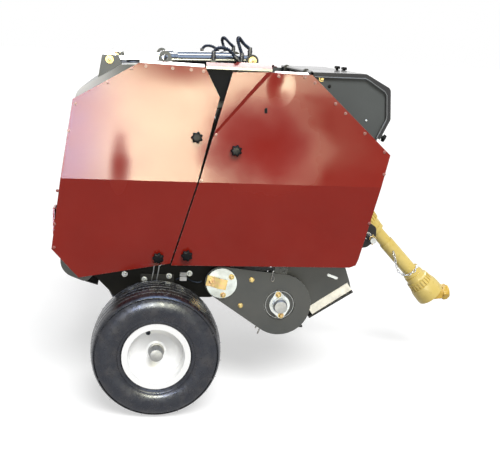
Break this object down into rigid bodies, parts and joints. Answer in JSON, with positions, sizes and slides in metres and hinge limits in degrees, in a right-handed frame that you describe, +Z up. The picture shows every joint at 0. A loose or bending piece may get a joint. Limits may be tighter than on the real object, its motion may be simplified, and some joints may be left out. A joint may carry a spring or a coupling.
{
  "type": "round baler",
  "caption": "Small wheeled round baler with a ribbed roller chamber, rear door lifted by cylinders, tined pick-up, folded side shields and a guarded drive shaft",
  "frame": {"origin": "on the ground under the middle of the bounding box", "axes": "+X forwards to the tractor, +Y to the left, +Z up"},
  "size_m": [1.6382, 1.2104, 1.3209],
  "materials": {
    "grey": "satin",
    "dark": "satin",
    "cast": "rough cast, painted",
    "cast_light": "cast, zinc grey",
    "red": "gloss",
    "black_plastic": "moulded",
    "black_paint": "gloss",
    "galvanised": "galvanised",
    "zinc": "zinc plated",
    "pin_zinc": "yellow zinc plated",
    "skin": "satin",
    "lamp": "clear moulded",
    "barrel": "gloss",
    "chrome": "polished",
    "tyre": "matt",
    "rim": "gloss",
    "band": "satin",
    "steel": "bare",
    "roller": "bare, rubbed bright",
    "yellow": "moulded",
    "yellow_steel": "gloss",
    "hose": "matt, wrapped"
  },
  "bodies": {
    "frame": {"frame_walls": "grey", "cross_tubes": "grey", "ram_pins": "pin_zinc", "axle_beam": "dark", "gearbox": "cast", "hitch_arms": "dark", "link_pins": "zinc", "front_shields": "red", "front_shield_knobs": "black_plastic", "top_strips": "red", "front_panel": "grey", "wind_guard": "grey", "guard_sheet": "galvanised", "stand_sleeve": "dark", "pick_pivots": "zinc"},
    "lid": {"bonnet_lid": "black_paint"},
    "stand": {"stand_leg": "dark"},
    "door": {"door_walls": "grey", "door_skin": "skin", "rod_brackets": "grey", "rod_pins": "pin_zinc", "rear_shields": "red", "rear_shield_knobs": "black_plastic", "tail_lamps": "lamp"},
    "roller_f1": {"front_roller_1": "roller"},
    "roller_f2": {"front_roller_2": "roller"},
    "roller_f3": {"front_roller_3": "roller"},
    "roller_f4": {"front_roller_4": "roller"},
    "roller_f5": {"front_roller_5": "roller"},
    "roller_d1": {"door_roller_1": "roller"},
    "roller_d2": {"door_roller_2": "roller"},
    "roller_d3": {"door_roller_3": "roller"},
    "roller_d4": {"door_roller_4": "roller"},
    "roller_d5": {"door_roller_5": "roller"},
    "barrel_r": {"barrel_right": "barrel", "hoses_right": "hose"},
    "barrel_l": {"barrel_left": "barrel", "hoses_left": "hose"},
    "piston_r": {"rod_right": "chrome"},
    "piston_l": {"rod_left": "chrome"},
    "wheel_r": {"tyre_right": "tyre", "rim_right": "rim"},
    "wheel_l": {"tyre_left": "tyre", "rim_left": "rim"},
    "pickup": {"pick_sides": "grey", "stripper_bands": "band", "reel_bearings": "cast_light"},
    "reel": {"reel": "steel"},
    "shaft": {"pto_joint": "steel", "pto_near": "yellow"},
    "shaft_far": {"pto_far": "yellow", "pto_yoke": "yellow_steel"}
  },
  "joints": [
    {"name": "door_open", "type": "hinge", "parent": "frame", "child": "door", "pos_m": [-0.23706, 0, 1.105], "axis": [0, 1, 0], "range_deg": [0, 45]},
    {"name": "barrel_tilt_right", "type": "hinge", "parent": "frame", "child": "barrel_r", "pos_m": [-0.12706, -0.298, 1.238], "axis": [0, 1, 0], "range_deg": [0, 38]},
    {"name": "rod_stroke_right", "type": "slide", "parent": "barrel_r", "child": "piston_r", "axis": [0.9993, 0, 0.0361], "range_m": [0, 0.13]},
    {"name": "barrel_tilt_left", "type": "hinge", "parent": "frame", "child": "barrel_l", "pos_m": [-0.12706, 0.298, 1.238], "axis": [0, 1, 0], "range_deg": [0, 38]},
    {"name": "rod_stroke_left", "type": "slide", "parent": "barrel_l", "child": "piston_l", "axis": [0.9993, 0, 0.0361], "range_m": [0, 0.13]},
    {"name": "lid_open", "type": "hinge", "parent": "frame", "child": "lid", "pos_m": [0.08894, 0, 1.206], "axis": [0, -1, 0], "range_deg": [0, 75]},
    {"name": "stand_raise", "type": "slide", "parent": "frame", "child": "stand", "axis": [0, 0, 1], "range_m": [0, 0.25]},
    {"name": "wheel_turn_right", "type": "hinge", "parent": "frame", "child": "wheel_r", "pos_m": [-0.44206, -0.498, 0.2285], "axis": [0, 1, 0], "continuous": true},
    {"name": "wheel_turn_left", "type": "hinge", "parent": "frame", "child": "wheel_l", "pos_m": [-0.44206, 0.498, 0.2285], "axis": [0, 1, 0], "continuous": true},
    {"name": "pickup_lower", "type": "hinge", "parent": "frame", "child": "pickup", "pos_m": [-0.20906, 0, 0.441], "axis": [0, 1, 0], "range_deg": [0, 25]},
    {"name": "reel_turn", "type": "hinge", "parent": "pickup", "child": "reel", "pos_m": [0.00994, 0, 0.36], "axis": [0, 1, 0], "continuous": true},
    {"name": "roller_turn_f2", "type": "hinge", "parent": "frame", "child": "roller_f2", "pos_m": [-0.11162, 0, 0.86209], "axis": [0, 1, 0], "continuous": true},
    {"name": "roller_turn_f1", "type": "hinge", "parent": "frame", "child": "roller_f1", "pos_m": [-0.19493, 0, 1.02213], "axis": [0, 1, 0], "continuous": true},
    {"name": "roller_turn_f3", "type": "hinge", "parent": "frame", "child": "roller_f3", "pos_m": [-0.13517, 0, 0.68322], "axis": [0, 1, 0], "continuous": true},
    {"name": "roller_turn_f4", "type": "hinge", "parent": "frame", "child": "roller_f4", "pos_m": [-0.32941, 0, 0.52022], "axis": [0, 1, 0], "continuous": true},
    {"name": "roller_turn_f5", "type": "hinge", "parent": "frame", "child": "roller_f5", "pos_m": [-0.49976, 0, 0.52468], "axis": [0, 1, 0], "continuous": true},
    {"name": "roller_turn_d1", "type": "hinge", "parent": "door", "child": "roller_d1", "pos_m": [-0.35496, 0, 1.10544], "axis": [0, 1, 0], "continuous": true},
    {"name": "roller_turn_d2", "type": "hinge", "parent": "door", "child": "roller_d2", "pos_m": [-0.5479, 0, 1.07488], "axis": [0, 1, 0], "continuous": true},
    {"name": "roller_turn_d3", "type": "hinge", "parent": "door", "child": "roller_d3", "pos_m": [-0.68112, 0, 0.93202], "axis": [0, 1, 0], "continuous": true},
    {"name": "roller_turn_d4", "type": "hinge", "parent": "door", "child": "roller_d4", "pos_m": [-0.69815, 0, 0.73742], "axis": [0, 1, 0], "continuous": true},
    {"name": "roller_turn_d5", "type": "hinge", "parent": "door", "child": "roller_d5", "pos_m": [-0.61545, 0, 0.5942], "axis": [0, 1, 0], "continuous": true},
    {"name": "shaft_raise", "type": "hinge", "parent": "frame", "child": "shaft", "pos_m": [0.37294, 0, 0.66], "axis": [0, -1, 0], "range_deg": [0, 50]},
    {"name": "shaft_pull", "type": "slide", "parent": "shaft", "child": "shaft_far", "axis": [0.6947, 0, -0.7193], "range_m": [0, 0.12]}
  ],
  "couplings": [
    {"joint": "barrel_tilt_right", "follows": "door_open", "ratio": 0.83364},
    {"joint": "rod_stroke_right", "follows": "door_open", "m_per_rad": 0.15214},
    {"joint": "barrel_tilt_left", "follows": "door_open", "ratio": 0.83364},
    {"joint": "rod_stroke_left", "follows": "door_open", "m_per_rad": 0.15214},
    {"joint": "roller_turn_f1", "follows": "roller_turn_f2", "ratio": 1},
    {"joint": "roller_turn_f3", "follows": "roller_turn_f2", "ratio": 1},
    {"joint": "roller_turn_f4", "follows": "roller_turn_f2", "ratio": 1},
    {"joint": "roller_turn_f5", "follows": "roller_turn_f2", "ratio": 1},
    {"joint": "roller_turn_d1", "follows": "roller_turn_f2", "ratio": 1},
    {"joint": "roller_turn_d2", "follows": "roller_turn_f2", "ratio": 1},
    {"joint": "roller_turn_d3", "follows": "roller_turn_f2", "ratio": 1},
    {"joint": "roller_turn_d4", "follows": "roller_turn_f2", "ratio": 1},
    {"joint": "roller_turn_d5", "follows": "roller_turn_f2", "ratio": 1}
  ]
}
